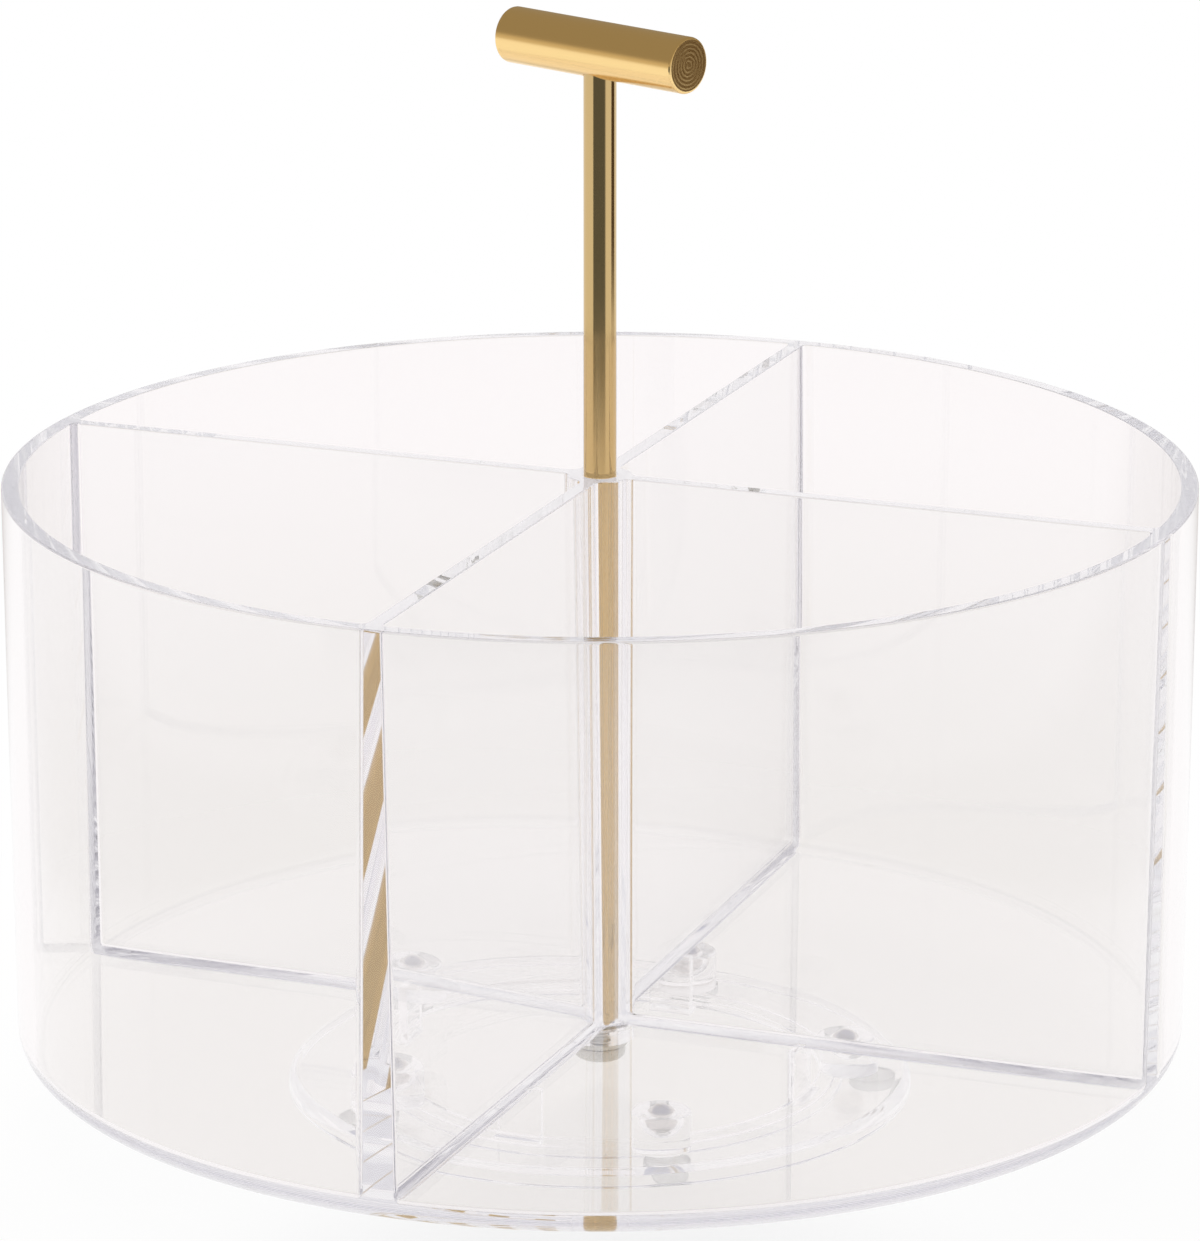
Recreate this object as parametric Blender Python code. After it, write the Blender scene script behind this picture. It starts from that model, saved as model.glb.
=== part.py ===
"""Spinning organizer: a clear round bin with four compartments and a gold T handle, turning on a low ball-bearing base.

Metres, +Z up. The origin is on the spin axis, at the surface that the feet stand on. Two dividers run along X and
two along Y. The bin turns about Z, and each ball rolls about the line from its centre to the spin axis.
"""

import math

import bmesh
import bpy
from mathutils import Matrix

# Clearances and cuts
SEAT_GAP = 0.0003
POST_CLEARANCE = 0.0002
SCREW_CLEARANCE = 0.0002
BALL_CLEARANCE = 0.00015
OVERRUN = 0.003
MERGE_DISTANCE = 0.000001

# Bin wall and floor
RIM_DIAMETER = 0.229
BIN_HEIGHT = 0.113
WALL = 0.0034
WALL_DRAFT = math.radians(0.4)
FLOOR = 0.004
BIN_CORNER_ROUND = 0.0055
RIM_EDGE_ROUND = 0.0005

# Compartments; the corner rounds are measured along the face from the sharp corner
COMPARTMENTS = 4
DIVIDER_TOP = 0.003
DIVIDER_FOOT = 0.006
WALL_CORNER_ROUND = 0.0012
SOCKET_CORNER_ROUND = 0.0012
FLOOR_ROUND = 0.0011

# Socket tube that holds the post, and its boss under the floor
SOCKET_WALL = 0.00295
SOCKET_SPREAD = 0.0008
SOCKET_DROP = 0.0034
SOCKET_WEB = 0.0021

# Handle
POST_DIAMETER = 0.0063
POST_CHAMFER = 0.0004
BAR_DIAMETER = 0.0108
BAR_LENGTH = 0.0444
BAR_RISE = 0.0828
BAR_CHAMFER = 0.0005
BAR_SEAT_DEPTH = 0.0066
BAR_TURN = math.radians(-20.6)

# Screw and washer under the post
SCREW_DIAMETER = 0.004
SCREW_GRIP = 0.010
SCREW_HEAD_DIAMETER = 0.010
SCREW_HEAD_HEIGHT = 0.0026
WASHER_DIAMETER = 0.011
WASHER_THICKNESS = 0.001

# Base ring
RING_DIAMETER = 0.122
RING_WIDTH = 0.018
RING_HEIGHT = 0.0034
RING_WEB = 0.0016
RING_SKIRT = 0.0018
RING_SHOULDER_ROUND = 0.0026
RING_LIP = 0.003
RING_RIB = 0.0016

# Balls, and their bosses on the ring
BALLS = 5
BALL_DIAMETER = 0.006
BALL_STAND = 0.0012
BOSS_WALL = 0.00255
BOSS_FLOOR = 0.00255
BOSS_SETBACK = 0.0002
BOSS_EDGE_ROUND = 0.0005
FIRST_BALL_ANGLE = math.radians(-55.0)

# Snap hooks under the bin, which reach below the ring's lip
HOOKS = 4
HOOK_WALL = 0.0016
HOOK_SWEEP = math.radians(12.0)
HOOK_SIDE_GAP = 0.0005
HOOK_REACH = 0.0014
HOOK_BARB = 0.0012
HOOK_LAND = 0.0004

# Feet in the ring's channel
FOOT_SIDE_GAP = 0.0013
FOOT_STAND = 0.0008
FOOT_EDGE_ROUND = 0.0006

# How finely round forms are divided
WALL_SEGMENTS = 96
RING_SEGMENTS = 80
ROD_SEGMENTS = 32
SOCKET_SEGMENTS = 32
BOSS_SEGMENTS = 24
FOOT_SEGMENTS = 20
BALL_SEGMENTS = 20
BALL_RINGS = 12
HOOK_STEPS = 3
CORNER_STEPS = 5
ROUND_STEPS = 3
BALL_SOCKET_STEPS = 8
SHARP_ANGLE = math.radians(35.0)

# Widths that follow from the sizes
SOCKET_TOP_DIAMETER = POST_DIAMETER + 2 * (POST_CLEARANCE + SOCKET_WALL)
SOCKET_FOOT_DIAMETER = SOCKET_TOP_DIAMETER + SOCKET_SPREAD
RING_BORE = RING_DIAMETER - 2 * RING_WIDTH
CHANNEL_INSIDE = RING_BORE / 2 + RING_LIP + RING_RIB
CHANNEL_OUTSIDE = RING_DIAMETER / 2 - RING_SKIRT
FOOT_DIAMETER = CHANNEL_OUTSIDE - CHANNEL_INSIDE - 2 * FOOT_SIDE_GAP
BOSS_DIAMETER = BALL_DIAMETER + 2 * (BALL_CLEARANCE + BOSS_WALL)
BALL_CIRCLE_RADIUS = RING_BORE / 2 + BOSS_SETBACK + BOSS_DIAMETER / 2

# Heights that follow from the sizes
RING_BOTTOM = FOOT_STAND
RING_TOP = RING_BOTTOM + RING_HEIGHT
LIP_UNDERSIDE = RING_TOP - RING_WEB
BALL_CENTRE = RING_TOP + BOSS_FLOOR + BALL_CLEARANCE + BALL_DIAMETER / 2
BOSS_TOP = BALL_CENTRE + BALL_DIAMETER / 2 - BALL_STAND
BIN_UNDERSIDE = BOSS_TOP + BALL_STAND + SEAT_GAP
FLOOR_TOP = BIN_UNDERSIDE + FLOOR
RIM_TOP = BIN_UNDERSIDE + BIN_HEIGHT
BAR_AXIS = RIM_TOP + BAR_RISE
SOCKET_BOTTOM = BIN_UNDERSIDE - SOCKET_DROP
POST_FOOT = SOCKET_BOTTOM + SOCKET_WEB + SEAT_GAP
WASHER_TOP = SOCKET_BOTTOM - SEAT_GAP
SCREW_HEAD_TOP = WASHER_TOP - WASHER_THICKNESS - SEAT_GAP


def clear_scene():
    """Removes whatever the file holds."""
    for leftover in list(bpy.data.objects):
        bpy.data.objects.remove(leftover, do_unlink=True)


# Materials
def surface(name, colour, roughness, metallic, transmission=0.0, refraction=1.5):
    """A Principled surface with one colour."""
    material = bpy.data.materials.new(name)
    material.use_nodes = True
    shader = material.node_tree.nodes["Principled BSDF"]
    shader.inputs["Base Color"].default_value = (*colour, 1.0)
    shader.inputs["Roughness"].default_value = roughness
    shader.inputs["Metallic"].default_value = metallic
    shader.inputs["Transmission Weight"].default_value = transmission
    shader.inputs["IOR"].default_value = refraction
    return material


def clear_plastic(name):
    return surface(name, (0.97, 0.965, 0.97), 0.02, 0.0, transmission=1.0, refraction=1.49)


def soft_clear_plastic(name):
    return surface(name, (0.90, 0.90, 0.89), 0.35, 0.0, transmission=0.8, refraction=1.45)


def polished_gold(name):
    return surface(name, (0.80, 0.58, 0.27), 0.18, 1.0)


def plated_steel(name):
    return surface(name, (0.55, 0.54, 0.52), 0.3, 1.0)


# Shape helpers
def arc(centre, radius, start, end, steps):
    """Points of an arc in the (radius, height) plane, from one angle in degrees to the other."""
    points = []
    for step in range(steps + 1):
        angle = math.radians(start + (end - start) * step / steps)
        points.append((centre[0] + radius * math.cos(angle), centre[1] + radius * math.sin(angle)))
    return points


def mesh_from(form, name):
    """Closes a form, turns its faces outwards and returns it as a mesh shaded smooth between sharp edges."""
    bmesh.ops.remove_doubles(form, verts=form.verts, dist=MERGE_DISTANCE)
    bmesh.ops.recalc_face_normals(form, faces=form.faces)
    mesh = bpy.data.meshes.new(name)
    form.to_mesh(mesh)
    form.free()
    mesh.shade_smooth()
    mesh.set_sharp_from_angle(angle=SHARP_ANGLE)
    return mesh


def turned(name, outline, segments, closed=False):
    """Turns an outline of (radius, height) points about Z. An open outline starts and ends on the axis."""
    form = bmesh.new()
    corners = [form.verts.new((radius, 0.0, height)) for radius, height in outline]
    for first, second in zip(corners, corners[1:]):
        form.edges.new((first, second))
    if closed:
        form.edges.new((corners[-1], corners[0]))
    bmesh.ops.spin(
        form,
        geom=form.verts[:] + form.edges[:],
        cent=(0.0, 0.0, 0.0),
        axis=(0.0, 0.0, 1.0),
        angle=math.tau,
        steps=segments,
    )
    return mesh_from(form, name)


def around(mesh, name, count, first_angle=0.0, radius=0.0):
    """One mesh of equal copies, spaced evenly about the spin axis."""
    form = bmesh.new()
    for copy in range(count):
        start = len(form.verts)
        form.from_mesh(mesh)
        form.verts.ensure_lookup_table()
        place = ring_place(copy, count, first_angle, radius, 0.0)
        bmesh.ops.transform(form, matrix=place, verts=form.verts[start:])
    return mesh_from(form, name)


def ring_place(copy, count, first_angle, radius, height):
    """Where one copy of an even ring of copies stands, turned to face outwards."""
    turn = Matrix.Rotation(first_angle + math.tau * copy / count, 4, "Z")
    return turn @ Matrix.Translation((radius, 0.0, height))


def add(name, mesh, material, parent, place=None):
    """Puts a finished piece in the scene."""
    piece = bpy.data.objects.new(name, mesh)
    bpy.context.scene.collection.objects.link(piece)
    piece.parent = parent
    if place is not None:
        piece.matrix_world = place
    if not mesh.materials:
        mesh.materials.append(material)
    return piece


def axis_empty(name, parent=None, height=0.0):
    """An empty on a moving group's axis."""
    empty = bpy.data.objects.new(name, None)
    bpy.context.scene.collection.objects.link(empty)
    empty.empty_display_size = BALL_DIAMETER
    empty.parent = parent
    empty.location.z = height
    return empty


def shaped(piece, *steps):
    """Runs Boolean steps, each an operation with its helper mesh, and keeps the result as the piece's own mesh."""
    helpers = []
    for operation, mesh in steps:
        helper = bpy.data.objects.new(mesh.name, mesh)
        bpy.context.scene.collection.objects.link(helper)
        helper.hide_render = True
        helper.display_type = "WIRE"
        helpers.append(helper)
        boolean = piece.modifiers.new(mesh.name, "BOOLEAN")
        boolean.operation = operation
        boolean.solver = "EXACT"
        boolean.object = helper
    bpy.context.view_layer.update()
    graph = bpy.context.evaluated_depsgraph_get()
    result = bpy.data.meshes.new_from_object(piece.evaluated_get(graph))
    result.name = piece.name
    piece.modifiers.clear()
    piece.data = result
    result.shade_smooth()
    result.set_sharp_from_angle(angle=SHARP_ANGLE)
    for helper in helpers:
        bpy.data.objects.remove(helper, do_unlink=True)


# Bin
def wall_outside(height):
    """Outer radius of the bin's wall at a height: it narrows towards the floor, so the bin leaves its mould."""
    return RIM_DIAMETER / 2 - (RIM_TOP - height) * math.tan(WALL_DRAFT)


def tapered(foot, top, height):
    """A size that changes evenly from the floor to the rim."""
    return foot + (top - foot) * (height - FLOOR_TOP) / (RIM_TOP - FLOOR_TOP)


def bin_blank():
    """The bin's outer form with nothing cut out of it yet."""
    socket = SOCKET_FOOT_DIAMETER / 2
    corner_height = BIN_UNDERSIDE + BIN_CORNER_ROUND
    corner = (wall_outside(corner_height) - BIN_CORNER_ROUND, corner_height)
    rim = (RIM_DIAMETER / 2 - RIM_EDGE_ROUND, RIM_TOP - RIM_EDGE_ROUND)
    outline = [(0.0, SOCKET_BOTTOM), (socket, SOCKET_BOTTOM), (socket, BIN_UNDERSIDE)]
    outline += arc(corner, BIN_CORNER_ROUND, -90, 0, CORNER_STEPS)
    outline += arc(rim, RIM_EDGE_ROUND, 0, 90, ROUND_STEPS)
    outline += [(0.0, RIM_TOP)]
    return turned("bin_blank", outline, WALL_SEGMENTS)


def compartment_corner(height):
    """The wall's and the socket's radius at a height, and the angle at which a divider's face meets each."""
    half = tapered(DIVIDER_FOOT, DIVIDER_TOP, height) / 2
    wall = wall_outside(height) - WALL
    socket = tapered(SOCKET_FOOT_DIAMETER, SOCKET_TOP_DIAMETER, height) / 2
    return wall, socket, math.asin(half / wall), math.asin(half / socket)


def face_angles(segments, margin):
    """Even directions across one compartment, clear of the rounded corners at its two ends."""
    quarter = math.tau / COMPARTMENTS
    angles = [math.tau * step / segments for step in range(segments)]
    return [angle for angle in angles if margin < angle < quarter - margin]


def compartment_outline(height):
    """Points round the compartment between +X and +Y at a height, and the list places of its four upright corners."""
    ends = [compartment_corner(level) for level in (FLOOR_TOP, RIM_TOP)]
    wall_margin = max(corner + WALL_CORNER_ROUND / wall for wall, _, corner, _ in ends)
    socket_margin = max(corner + SOCKET_CORNER_ROUND / socket for _, socket, _, corner in ends)
    wall, socket, wall_corner, socket_corner = compartment_corner(height)
    quarter = math.tau / COMPARTMENTS
    wall_angles = [wall_corner, *face_angles(WALL_SEGMENTS, wall_margin), quarter - wall_corner]
    socket_angles = [socket_corner, *face_angles(SOCKET_SEGMENTS, socket_margin), quarter - socket_corner]
    points = [(wall * math.cos(angle), wall * math.sin(angle), height) for angle in wall_angles]
    points += [(socket * math.cos(angle), socket * math.sin(angle), height) for angle in reversed(socket_angles)]
    last_wall = len(wall_angles) - 1
    return points, (0, last_wall), (last_wall + 1, len(points) - 1)


def compartment():
    """The space of one compartment: drawn up from its floor outline, with rounded upright corners and floor edge."""
    low_points, wall_corners, socket_corners = compartment_outline(FLOOR_TOP)
    high_points = compartment_outline(RIM_TOP + OVERRUN)[0]
    form = bmesh.new()
    low = [form.verts.new(point) for point in low_points]
    floor = form.faces.new(low)
    drawn = bmesh.ops.extrude_face_region(form, geom=[floor])
    high = [item for item in drawn["geom"] if isinstance(item, bmesh.types.BMVert)]
    above = {}
    for vertex in high:
        nearest = min(range(len(low)), key=lambda place: (low[place].co - vertex.co).length)
        above[nearest] = vertex
    for place, vertex in above.items():
        vertex.co = high_points[place]
    for corners, setback in ((wall_corners, WALL_CORNER_ROUND), (socket_corners, SOCKET_CORNER_ROUND)):
        uprights = [form.edges.get((low[place], above[place])) for place in corners]
        round_edges(form, uprights, setback)
    level = FLOOR_TOP + MERGE_DISTANCE
    rim_of_floor = [edge for edge in form.edges if all(vertex.co.z < level for vertex in edge.verts)]
    round_edges(form, rim_of_floor, FLOOR_ROUND)
    return mesh_from(form, "compartment")


def round_edges(form, edges, setback):
    bmesh.ops.bevel(
        form,
        geom=edges,
        offset=setback,
        offset_type="OFFSET",
        segments=ROUND_STEPS,
        profile=0.5,
        affect="EDGES",
    )


def post_socket():
    """The bore that the post stands in, and the screw's hole in the web below it."""
    bore = POST_DIAMETER / 2 + POST_CLEARANCE
    hole = SCREW_DIAMETER / 2 + SCREW_CLEARANCE
    web_top = SOCKET_BOTTOM + SOCKET_WEB
    outline = [
        (0.0, SOCKET_BOTTOM - OVERRUN),
        (hole, SOCKET_BOTTOM - OVERRUN),
        (hole, web_top),
        (bore, web_top),
        (bore, RIM_TOP + OVERRUN),
        (0.0, RIM_TOP + OVERRUN),
    ]
    return turned("post_socket", outline, SOCKET_SEGMENTS)


def snap_hook():
    """A short curved hook under the bin: its barb reaches below the base ring's lip and keeps the ring on."""
    outside = RING_BORE / 2 - HOOK_SIDE_GAP
    inside = outside - HOOK_WALL
    tip = RING_BORE / 2 + HOOK_REACH
    barb_top = LIP_UNDERSIDE - SEAT_GAP
    barb_bottom = barb_top - HOOK_BARB
    root = BIN_UNDERSIDE + FLOOR / 2
    outline = [
        (inside, root),
        (inside, barb_bottom),
        (outside, barb_bottom),
        (tip, barb_top - HOOK_LAND),
        (tip, barb_top),
        (outside, barb_top),
        (outside, root),
    ]
    form = bmesh.new()
    section = form.faces.new([form.verts.new((radius, 0.0, height)) for radius, height in outline])
    turn_back = Matrix.Rotation(-HOOK_SWEEP / 2, 4, "Z")
    bmesh.ops.transform(form, matrix=turn_back, verts=form.verts)
    bmesh.ops.spin(
        form,
        geom=[section],
        cent=(0.0, 0.0, 0.0),
        axis=(0.0, 0.0, 1.0),
        angle=HOOK_SWEEP,
        steps=HOOK_STEPS,
    )
    return mesh_from(form, "snap_hook")


def divided_bin(parent):
    piece = add("divided_bin", bin_blank(), clear_plastic("bin_clear_plastic"), parent)
    shaped(
        piece,
        ("DIFFERENCE", around(compartment(), "compartments", COMPARTMENTS)),
        ("DIFFERENCE", post_socket()),
        ("UNION", around(snap_hook(), "snap_hooks", HOOKS)),
    )
    return piece


# Handle
def handle_post(parent):
    """A round rod with chamfered ends and a tapped hole for the screw in its foot."""
    radius = POST_DIAMETER / 2
    hole = SCREW_DIAMETER / 2 + SCREW_CLEARANCE
    top = BAR_AXIS - BAR_DIAMETER / 2 + BAR_SEAT_DEPTH - SEAT_GAP
    hole_top = POST_FOOT + SCREW_GRIP + SEAT_GAP
    outline = [
        (0.0, hole_top),
        (hole, hole_top - hole),
        (hole, POST_FOOT),
        (radius - POST_CHAMFER, POST_FOOT),
        (radius, POST_FOOT + POST_CHAMFER),
        (radius, top - POST_CHAMFER),
        (radius - POST_CHAMFER, top),
        (0.0, top),
    ]
    mesh = turned("handle_post", outline, ROD_SEGMENTS)
    return add("handle_post", mesh, polished_gold("post_polished_gold"), parent)


def handle_bar(parent):
    """A turned bar with chamfered ends, lying across the post, with a blind hole below for the post's end."""
    radius = BAR_DIAMETER / 2
    half = BAR_LENGTH / 2
    outline = [
        (0.0, -half),
        (radius - BAR_CHAMFER, -half),
        (radius, BAR_CHAMFER - half),
        (radius, half - BAR_CHAMFER),
        (radius - BAR_CHAMFER, half),
        (0.0, half),
    ]
    mesh = turned("handle_bar", outline, ROD_SEGMENTS)
    mesh.transform(Matrix.Rotation(math.radians(90), 4, "Y"))
    hole_top = -radius + BAR_SEAT_DEPTH
    hole = POST_DIAMETER / 2 + POST_CLEARANCE
    seat = [
        (0.0, -radius - OVERRUN),
        (hole, -radius - OVERRUN),
        (hole, hole_top),
        (0.0, hole_top),
    ]
    piece = add("handle_bar", mesh, polished_gold("bar_polished_gold"), None)
    shaped(piece, ("DIFFERENCE", turned("bar_seat", seat, ROD_SEGMENTS)))
    piece.parent = parent
    piece.matrix_world = Matrix.Translation((0.0, 0.0, BAR_AXIS)) @ Matrix.Rotation(BAR_TURN, 4, "Z")
    return piece


def post_washer(parent):
    inside = SCREW_DIAMETER / 2 + SCREW_CLEARANCE
    outside = WASHER_DIAMETER / 2
    bottom = WASHER_TOP - WASHER_THICKNESS
    outline = [(inside, bottom), (outside, bottom), (outside, WASHER_TOP), (inside, WASHER_TOP)]
    mesh = turned("post_washer", outline, ROD_SEGMENTS, closed=True)
    return add("post_washer", mesh, plated_steel("washer_plated_steel"), parent)


def post_screw(parent):
    """A domed screw that comes up through the washer and the web into the post."""
    shank = SCREW_DIAMETER / 2
    head = SCREW_HEAD_DIAMETER / 2
    bottom = SCREW_HEAD_TOP - SCREW_HEAD_HEIGHT
    round_centre = (head - SCREW_HEAD_HEIGHT / 2, bottom + SCREW_HEAD_HEIGHT / 2)
    top = POST_FOOT + SCREW_GRIP - shank
    outline = [(0.0, bottom)]
    outline += arc(round_centre, SCREW_HEAD_HEIGHT / 2, -90, 0, ROUND_STEPS)
    outline += [(head, SCREW_HEAD_TOP), (shank, SCREW_HEAD_TOP), (shank, top - shank / 2), (shank / 2, top), (0.0, top)]
    mesh = turned("post_screw", outline, ROD_SEGMENTS)
    return add("post_screw", mesh, plated_steel("screw_plated_steel"), parent)


# Turntable base
def ring_blank():
    """The low ring: a flat web with a rounded outer shoulder, a skirt and a rib below, and a thin inner lip."""
    outside = RING_DIAMETER / 2
    bore = RING_BORE / 2
    rib = CHANNEL_INSIDE - RING_RIB
    shoulder = (outside - RING_SHOULDER_ROUND, RING_TOP - RING_SHOULDER_ROUND)
    outline = [
        (bore, RING_TOP),
        (bore, LIP_UNDERSIDE),
        (rib, LIP_UNDERSIDE),
        (rib, RING_BOTTOM),
        (CHANNEL_INSIDE, RING_BOTTOM),
        (CHANNEL_INSIDE, LIP_UNDERSIDE),
        (CHANNEL_OUTSIDE, LIP_UNDERSIDE),
        (CHANNEL_OUTSIDE, RING_BOTTOM),
        (outside, RING_BOTTOM),
    ]
    outline += arc(shoulder, RING_SHOULDER_ROUND, 0, 90, CORNER_STEPS)
    return turned("ring_blank", outline, RING_SEGMENTS, closed=True)


def ball_boss():
    """A round boss with a ball socket: its mouth is narrower than the ball, which snaps in and stays."""
    socket = BALL_DIAMETER / 2 + BALL_CLEARANCE
    outside = BOSS_DIAMETER / 2
    mouth_angle = math.degrees(math.asin((BOSS_TOP - BALL_CENTRE) / socket))
    edge = (outside - BOSS_EDGE_ROUND, BOSS_TOP - BOSS_EDGE_ROUND)
    root = RING_TOP - RING_WEB / 2
    outline = arc((0.0, BALL_CENTRE), socket, -90, mouth_angle, BALL_SOCKET_STEPS)
    outline += reversed(arc(edge, BOSS_EDGE_ROUND, 0, 90, ROUND_STEPS))
    outline += [(outside, root), (0.0, root)]
    return turned("ball_boss", outline, BOSS_SEGMENTS)


def base_ring(parent):
    piece = add("base_ring", ring_blank(), clear_plastic("ring_clear_plastic"), parent)
    bosses = around(ball_boss(), "ball_bosses", BALLS, FIRST_BALL_ANGLE, BALL_CIRCLE_RADIUS)
    shaped(piece, ("UNION", bosses))
    return piece


def ball_mesh():
    form = bmesh.new()
    bmesh.ops.create_uvsphere(
        form,
        u_segments=BALL_SEGMENTS,
        v_segments=BALL_RINGS,
        radius=BALL_DIAMETER / 2,
    )
    return mesh_from(form, "ball")


def balls(parent):
    """Steel balls, each with its poles on the line to the spin axis, about which it rolls."""
    mesh = ball_mesh()
    steel = plated_steel("ball_steel")
    lay_down = Matrix.Rotation(math.radians(90), 4, "Y")
    for copy in range(BALLS):
        place = ring_place(copy, BALLS, FIRST_BALL_ANGLE, BALL_CIRCLE_RADIUS, BALL_CENTRE)
        add(f"ball_{copy + 1}", mesh, steel, parent, place @ lay_down)


def foot_mesh():
    """A soft round pad with a rounded lower edge."""
    radius = FOOT_DIAMETER / 2
    top = LIP_UNDERSIDE - SEAT_GAP
    edge = (radius - FOOT_EDGE_ROUND, FOOT_EDGE_ROUND)
    outline = [(0.0, 0.0)]
    outline += arc(edge, FOOT_EDGE_ROUND, -90, 0, ROUND_STEPS)
    outline += [(radius, top), (0.0, top)]
    return turned("foot", outline, FOOT_SEGMENTS)


def feet(parent):
    """Soft pads in the channel under the ring, each in line with a boss."""
    mesh = foot_mesh()
    soft = soft_clear_plastic("foot_soft_clear_plastic")
    middle = (CHANNEL_INSIDE + CHANNEL_OUTSIDE) / 2
    for copy in range(BALLS):
        add(f"foot_{copy + 1}", mesh, soft, parent, ring_place(copy, BALLS, FIRST_BALL_ANGLE, middle, 0.0))


def main():
    clear_scene()
    base = axis_empty("base")
    spin = axis_empty("bin_spin_axis", base)
    bpy.context.view_layer.update()
    base_ring(base)
    feet(base)
    balls(base)
    divided_bin(spin)
    handle_post(spin)
    handle_bar(spin)
    post_washer(spin)
    post_screw(spin)
    bpy.context.view_layer.update()


main()
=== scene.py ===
# %% [markdown]
# # Dressing a spinning organizer
# The object is a clear round bin for a shelf beside a mirror. It has four compartments and a gold T
# handle, and it turns on a low ring with five steel balls. The engineering model is already packed:
# it says where every piece is and how it moves. This lesson gives each piece its fine surface and
# its finish, and leaves every size as it is.

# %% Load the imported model
import math

import bmesh
import bpy
from mathutils import Matrix, Vector


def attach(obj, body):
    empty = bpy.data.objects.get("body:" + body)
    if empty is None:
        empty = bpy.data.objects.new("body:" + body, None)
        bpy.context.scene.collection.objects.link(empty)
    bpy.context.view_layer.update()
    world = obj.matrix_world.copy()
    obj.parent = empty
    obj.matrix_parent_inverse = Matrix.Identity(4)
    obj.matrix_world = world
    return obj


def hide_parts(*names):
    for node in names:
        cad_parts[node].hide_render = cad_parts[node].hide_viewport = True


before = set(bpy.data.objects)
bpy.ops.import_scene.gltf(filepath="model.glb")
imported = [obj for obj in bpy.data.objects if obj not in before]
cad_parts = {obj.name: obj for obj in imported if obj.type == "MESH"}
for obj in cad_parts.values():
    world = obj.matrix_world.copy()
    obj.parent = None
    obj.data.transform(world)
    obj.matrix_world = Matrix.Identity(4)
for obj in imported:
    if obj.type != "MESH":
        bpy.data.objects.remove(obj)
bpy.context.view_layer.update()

# %% [markdown]
# ## Working as by hand
# Each new piece starts as a primitive. A modeller would click on the faces or edges to shape next.
# A script picks them by their place instead, so a few helpers stand for the mouse: one opens a new
# primitive in edit mode, and one picks what a rule describes. The others draw out, round, cut, copy
# and close what is there. All shaping is done in the object's own place, so a finished piece sits
# at the origin and its mesh holds its position.

# %% Helpers for picking
# Places closer than NEAR count as one, and doubles within SAME_PLACE are merged. FLAT and STEEP say
# how upright the normal of a level and of a steep face is.
NEAR, SAME_PLACE, FLAT, STEEP = 0.00002, 0.000002, 0.99, 0.1


def only(part):
    """Back to object mode, with one part selected and active, or none."""
    if bpy.context.mode != "OBJECT":
        bpy.ops.object.mode_set(mode="OBJECT")
    bpy.ops.object.select_all(action="DESELECT")
    if part is not None:
        part.select_set(True)
    bpy.context.view_layer.objects.active = part


def open_new(name, scale=(1.0, 1.0, 1.0)):
    """Takes the primitive just added, writes its place into its mesh and opens it in edit mode."""
    part = bpy.context.object
    part.name = part.data.name = name
    part.scale = scale
    bpy.ops.object.transform_apply(location=True, rotation=True, scale=True)
    bpy.ops.object.mode_set(mode="EDIT")
    return part


def pick(part, kind, rule):
    """Picks the vertices, edges or faces in edit mode that a rule describes, and counts them."""
    bpy.ops.mesh.select_mode(type=kind)
    bpy.ops.mesh.select_all(action="DESELECT")
    form = bmesh.from_edit_mesh(part.data)
    choice = {"VERT": form.verts, "EDGE": form.edges, "FACE": form.faces}[kind]
    found = [item for item in choice if rule(item)]
    for item in found:
        item.select_set(True)
    bmesh.update_edit_mesh(part.data)
    return len(found)


def across(point, centre=(0.0, 0.0)):
    """Distance from an upright line, which is the spin axis unless another is named."""
    return math.hypot(point.x - centre[0], point.y - centre[1])


def at_height(height):
    """A rule for edges that lie at one height."""
    return lambda edge: all(abs(vertex.co.z - height) < NEAR for vertex in edge.verts)


def ring_edge(radius, height, centre=(0.0, 0.0)):
    """A rule for the edges of a level circle."""
    return lambda edge: at_height(height)(edge) and all(
        abs(across(vertex.co, centre) - radius) < NEAR for vertex in edge.verts
    )


def bottom_face(face):
    """A rule for faces that look straight down."""
    return face.normal.z < -FLAT


def top_face(face):
    """A rule for faces that look straight up."""
    return face.normal.z > FLAT


def cap(face):
    """A rule for the cap of a round form. It has more sides than the faces around it."""
    return len(face.verts) > 4


only(None)


# %% Helpers for adding, drawing and rounding
def add_rod(sides, radius, low, high, centre=(0.0, 0.0), turn=0.0):
    """An upright cylinder between two heights."""
    bpy.ops.mesh.primitive_cylinder_add(
        vertices=sides,
        radius=radius,
        depth=high - low,
        location=(*centre, (low + high) / 2),
        rotation=(0.0, 0.0, turn),
    )


def draw_up(distance):
    """Draws out what is picked, straight up or, by a negative distance, down."""
    bpy.ops.mesh.extrude_region_move(TRANSFORM_OT_translate={"value": (0.0, 0.0, distance)})


def round_off(size, segments, profile=0.5):
    """Rounds the picked edges."""
    bpy.ops.mesh.bevel(offset=size, segments=segments, profile=profile, affect="EDGES")


# %% Helpers for cutting, copying and closing
def cut(part, tool, operation):
    """Cuts a tool from a part, or joins it to the part, and deletes the tool."""
    only(part)
    boolean = part.modifiers.new(tool.name, "BOOLEAN")
    boolean.operation = operation
    boolean.solver = "EXACT"
    boolean.object = tool
    bpy.ops.object.modifier_apply(modifier=boolean.name)
    bpy.data.objects.remove(tool, do_unlink=True)


def copy_round(part, count):
    """Copies a part to even places round the spin axis, each copy with its own mesh."""
    parts = [part]
    for step in range(1, count):
        other = part.copy()
        other.data = part.data.copy()
        other.data.transform(Matrix.Rotation(math.tau * step / count, 4, "Z"))
        bpy.context.scene.collection.objects.link(other)
        parts.append(other)
    return parts


def join_all(parts):
    """Joins several parts into the first of them."""
    only(parts[0])
    for part in parts:
        part.select_set(True)
    bpy.ops.object.join()
    return parts[0]


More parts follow.
